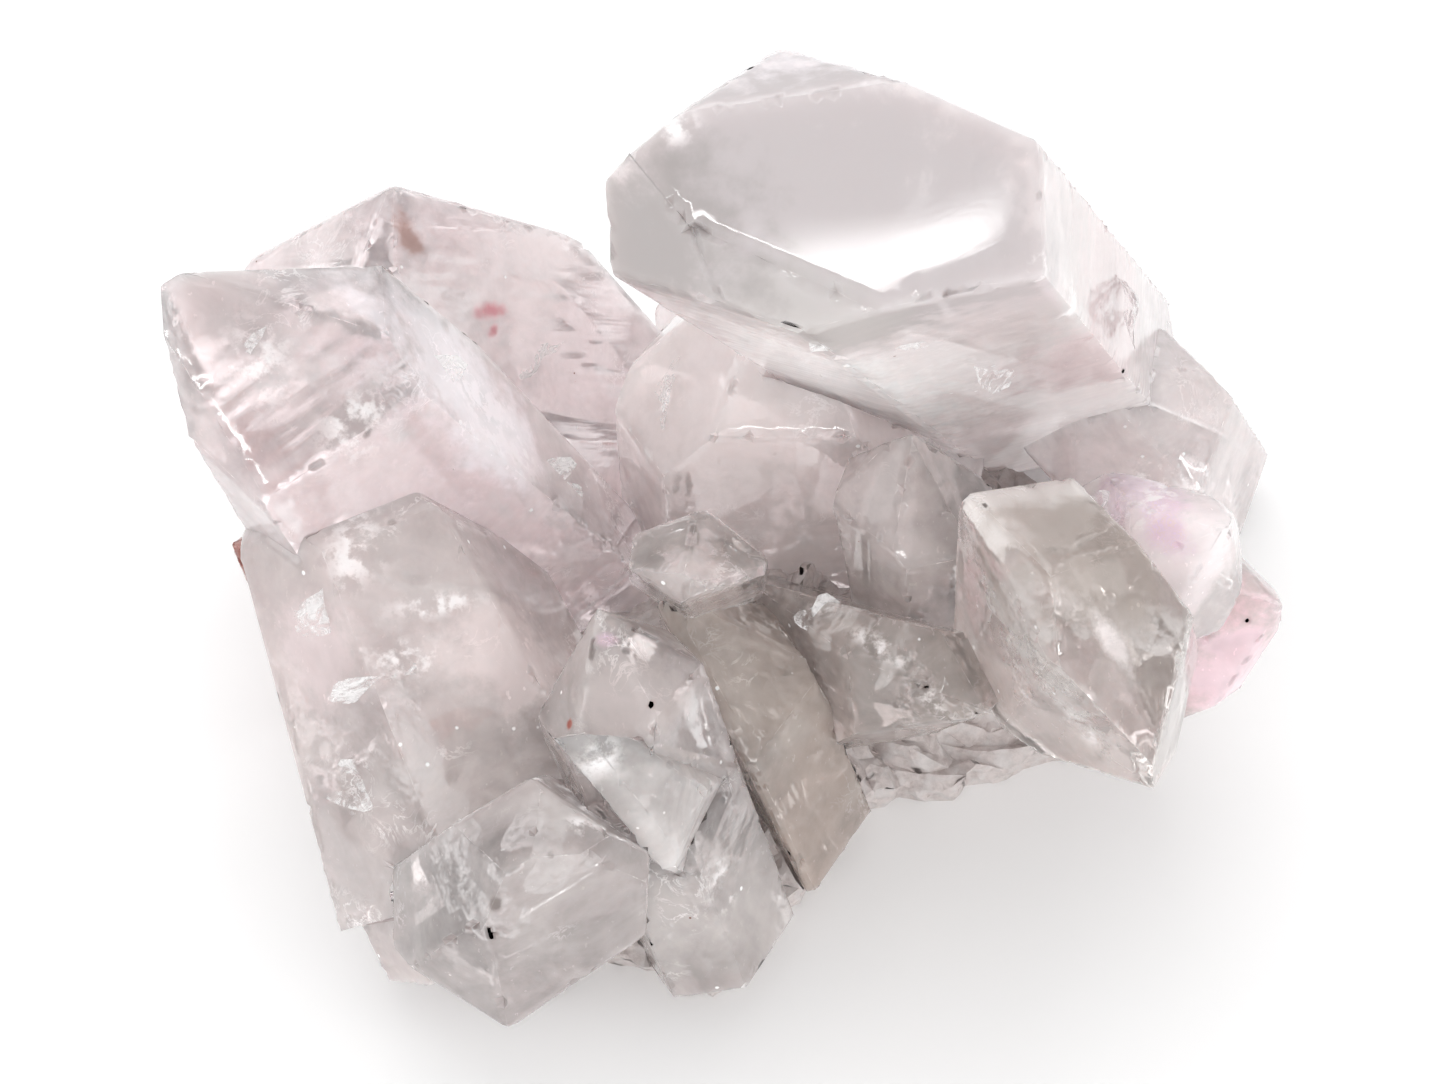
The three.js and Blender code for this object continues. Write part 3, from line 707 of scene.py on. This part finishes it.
# ---------------------------------------------------------------------------------------
# Smoky crystals: the faceted one right of the centre, the flat tapered one and the brownish
# column. They are the clearest, with a light brown smoke and bright glints.
# ---------------------------------------------------------------------------------------
SMOKY_CLEAR, SMOKY_MILK = (0.95, 0.92, 0.905, 1), (0.60, 0.525, 0.49, 1)
grow("smoky_crystal", "smoky_quartz", 21, 1, 23, relief=0.05, clear=(0.88, 0.84, 0.82, 1),
     milk=SMOKY_MILK, cloud=0.3, gloss=0.03, veined=0.5, marks=[
         # Painted glints: two white streaks where light glints off small cracks.
         ("white_streak", FEATHER_AND_GLINT_WHITE, (21.5, -29.3, 39), 3, (0, -1, -1), 3),
         ("white_streak", FEATHER_AND_GLINT_WHITE, (26.4, -34.5, 39), 3, (1, 0, -1), 2.5),
         # Darker top: partly the quartz's own smoke, partly painted shade for the dark reflections on the
         # top faces.
         ("stain_and_painted_shading", (0.46, 0.40, 0.365, 1), (27, -23, 51), 9, RIGHT, 1.6),
         ("stain_and_painted_shading", (0.86, 0.80, 0.79, 1), (29, -31, 46), 1.6, (0.5, -0.5, -1), 5),
     ])
inner_veils("smoky_crystal", "smoky_quartz", 110,
            ((29, -27, 42), (0.9, 0.2, 0.5), 6), ((24, -24, 44), (-0.6, -0.7, 0.3), 5),
            ((31, -22, 38), (0.2, -0.9, 0.5), 6))
grow("flat_crystal", "smoky_quartz", 33, 21, 24, clear=SMOKY_CLEAR, milk=SMOKY_MILK, cloud=0.35,
     veined=0.7, marks=[
         # Painted glints: white streaks along the edge where light glints.
         ("white_streak", FEATHER_AND_GLINT_WHITE, (3, -14, 31), 1.6, (1, -0.6, 0.1), 4),
         ("white_streak", FEATHER_AND_GLINT_WHITE, (9, -21, 33), 1.8, (1, -0.8, 0), 5),
         ("white_streak", FEATHER_AND_GLINT_WHITE, (14, -25.5, 30.5), 2.0, (1, -0.3, -1), 4),
     ])
inner_veils("flat_crystal", "smoky_quartz", 120,
            ((5, -15, 29), (0.2, -0.7, 0.6), 4), ((11, -20, 30), (0.7, -0.6, 0.4), 4))
grow("middle_column", "smoky_quartz", 239, 68, 25, clear=SMOKY_CLEAR, milk=(0.54, 0.45, 0.40, 1), cloud=0.5,
     veined=0.6)

# ---------------------------------------------------------------------------------------
# Right-hand crystals: a clear one whose inner cracks shine in rainbow colours, and the one
# at the far right with a pink face. A thin red-brown sliver stands at the left edge.
# ---------------------------------------------------------------------------------------
grow("iridescent_crystal", "rainbow_quartz", 30, 61, 26, clear=(0.995, 0.98, 0.98, 1),
     milk=(0.95, 0.88, 0.88, 1), cloud=0.6, gloss=0.03, veined=0.9, marks=[
         ("rainbow", None, (36, -6, 42), 6, (1, 1, 0), 1.6),
         # Painted light: a milkier, brighter patch that lifts a face the lamps leave dark.
         ("stain_and_painted_shading", (0.94, 0.84, 0.85, 1), (39, -17, 43), 9, (0, -1, -1), 1.5),
         ("rainbow", None, (38, -12, 44), 3, (0, -1, 0), 2),
         ("white_streak", FEATHER_AND_GLINT_WHITE, (37, -10, 43), 3.5, (1, 1, 0), 2),
     ])
inner_veils("iridescent_crystal", "rainbow_quartz", 130,
            ((36, -7, 38), (0.4, -0.6, 0.7), 5), ((39, -12, 36), (0.9, -0.3, 0.1), 4))
grow("far_right_crystal", "rosy_quartz", 36, 53, 27, clear=(0.985, 0.93, 0.94, 1),
     milk=(0.80, 0.70, 0.69, 1), cloud=0.45, veined=0.4, marks=[
         ("stain_and_painted_shading", (0.97, 0.73, 0.78, 1), (50, -17, 23), 10, (0.5, 0, -1), 1.3),
     ])
grow("red_crystal", "iron_stained_quartz", 290, 49, 28, clear=(0.62, 0.32, 0.28, 1),
     milk=(0.36, 0.12, 0.09, 1), cloud=0.8, veined=0.3)

# ---------------------------------------------------------------------------------------
# Rear crystals, which point back and down to the table and close the cluster behind.
# ---------------------------------------------------------------------------------------
for number, (node, heading, lean) in enumerate((
        ("rear_left_crystal", 200, 42), ("rear_middle_crystal", 184, 38), ("rear_right_crystal", 165, 50))):
    grow(node, "milky_quartz" if "middle" in node else "pale_quartz", heading, lean, 30 + number,
         clear=PALE_CLEAR, milk=PALE_MILK, cloud=0.6, veined=0.7)
